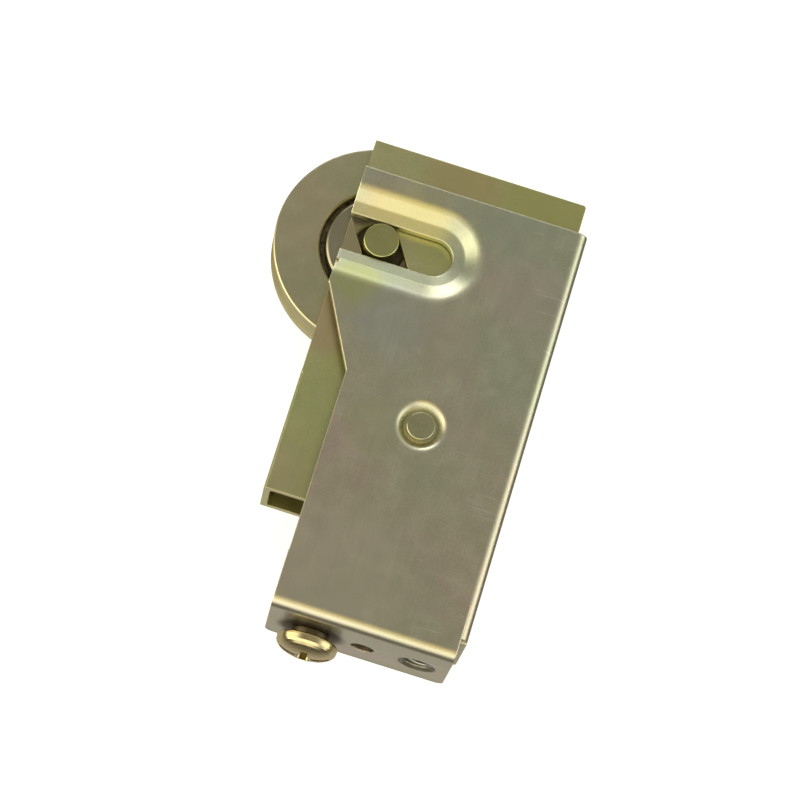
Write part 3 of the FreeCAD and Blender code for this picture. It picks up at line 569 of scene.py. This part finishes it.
# ------------------------------------------------------------------ floor
def floor_material():
    """Pale to the camera, dim to other rays, and clear from behind."""
    mat = bpy.data.materials.new("floor")
    tree = Tree(mat)
    path, geometry = tree.new("LightPath"), tree.new("NewGeometry")
    diffuse = tree.new("BsdfDiffuse", {0: (0.84, 0.84, 0.83)})
    glow = tree.new("Emission", {0: (1.0, 1.0, 1.0), 1: 0.62})
    pale = tree.new("AddShader", {0: diffuse.outputs[0], 1: glow.outputs[0]})

    # other rays get a warm glow that fades with distance from a rectangle round the part
    split = tree.split(geometry.outputs["Position"])
    outside = []
    for index, centre, half in ((0, 0.028, 0.047), (2, 0.008, 0.027)):
        distance = tree.math("ABSOLUTE", tree.minus(split[index], centre))
        outside.append(tree.math("MAXIMUM", tree.minus(distance, half), 0.0))
    away = tree.times(tree.length(*outside), 8.0)
    fade = tree.ramp(away, [(0.04, 0.46), (0.10, 0.26), (0.22, 0.11), (1.0, 0.09)])
    warm = tree.new("Emission", {0: (1.0, 0.97, 0.92), 1: fade})

    front = tree.new("MixShader", {0: path.outputs["Is Camera Ray"], 1: warm.outputs[0],
                                   2: pale.outputs[0]})
    clear = tree.new("BsdfTransparent")
    both = tree.new("MixShader", {0: geometry.outputs["Backfacing"], 1: front.outputs[0],
                                  2: clear.outputs[0]})
    tree.new("OutputMaterial", {0: both.outputs[0]})
    return mat


floor_half = 1.2
floor_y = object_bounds()[1][1] + 0.00012
floor_mesh = bpy.data.meshes.new("floor")
corners = ((-1, -1), (1, -1), (1, 1), (-1, 1))
floor_mesh.from_pydata([(x * floor_half, floor_y, z * floor_half) for x, z in corners],
                       [], [(0, 1, 2, 3)])
floor = add_object("floor", floor_mesh)
floor_mesh.materials.append(floor_material())

# ------------------------------------------------------------------ world
# direction, cosine where the glow starts and where it is full, colour
WINDOWS = (
    ((0.75, -0.68, 0.10), 0.78, 0.96, (1.70, 1.66, 1.45)),     # -X dish wall, flange bend
    ((0.36, -0.93, 0.05), 0.925, 0.992, (1.00, 0.84, 0.40)),   # golden: the -X lip
    ((0.72, -0.45, -0.55), 0.84, 0.97, (1.60, 1.56, 1.40)),    # +Z end of the dish
    ((0.26, -0.53, -0.81), 0.87, 0.97, (2.2, 2.1, 1.7)),       # slanted cut edge
    ((0.26, -0.15, -0.95), 0.88, 0.97, (2.6, 2.45, 1.9)),      # its rounded corner
    ((-0.50, -0.48, -0.72), 0.88, 0.975, (0.26, 0.26, 0.25)),  # a dark gap
    ((0.0, -0.10, 1.0), 0.72, 0.95, (1.9, 1.9, 1.8)),          # web bend
    ((-1.0, -0.16, 0.16), 0.80, 0.98, (0.68, 0.74, 0.72)),     # pale +X wall
    ((-0.88, -0.33, -0.36), 0.92, 0.995, (3.0, 3.1, 3.2)),     # hot spot on the +X wall
)
# brightness from straight behind the part (0) round to the camera side (1)
ROOM_STOPS = [
    (0.0, (0.20, 0.20, 0.19)), (0.40, (0.24, 0.24, 0.23)), (0.50, (0.36, 0.36, 0.35)),
    (0.70, (0.60, 0.595, 0.59)), (0.86, (0.47, 0.465, 0.455)),
    (0.93, (0.33, 0.325, 0.315)), (1.0, (0.275, 0.27, 0.265))]

world = bpy.data.worlds.new("studio")
scene.world = world
tree = Tree(world)
gaze = tree.new("VectorMath", {0: tree.coords("Generated")}, operation="NORMALIZE").outputs[0]


def toward(*direction):
    return tree.vector_math("DOT_PRODUCT", gaze, Vector(direction).normalized())


light = tree.ramp(tree.scale_add(toward(-0.1, -1.0, 0.0), 0.5, 0.5), ROOM_STOPS)
uneven = tree.ramp(tree.noise(gaze, scale=2.2, detail=2.0, rough=0.5),
                   [(0.35, 0.82), (0.65, 1.22)])
light = tree.mix(1.0, light, uneven, "MULTIPLY")
for direction, start, full, colour in WINDOWS:
    light = tree.mix(tree.rise(toward(*direction), start, full, "EASE"), light, colour)
room = tree.new("Background", {0: light})
backdrop = tree.new("Background", {0: (0.985, 0.985, 0.985)})  # what the camera sees
path = tree.new("LightPath")
shown = tree.new("MixShader", {0: path.outputs["Is Camera Ray"], 1: room.outputs[0],
                               2: backdrop.outputs[0]})
tree.new("OutputWorld", {0: shown.outputs[0]})

# ------------------------------------------------------------------ camera
right = Vector((-0.282782, -0.102927, 0.953646))
down = Vector((0.906736, 0.295577, 0.300773))
ahead = Vector((-0.312833, 0.949758, 0.009744))
camera_place = Vector((201.881, -537.255, 6.225)) * MM
camera_data = bpy.data.cameras.new("camera")
camera = add_object("camera", camera_data)
camera_data.sensor_width = 36.0
camera_data.lens = 142.44174
camera_data.clip_start = 0.05
camera_data.clip_end = 5.0
turn = Matrix((right, -down, -ahead)).transposed().to_4x4()
camera.matrix_world = Matrix.Translation(camera_place) @ turn
scene.camera = camera
scene.view_settings.view_transform = "Standard"
scene.view_settings.look = "None"

bpy.context.view_layer.update()
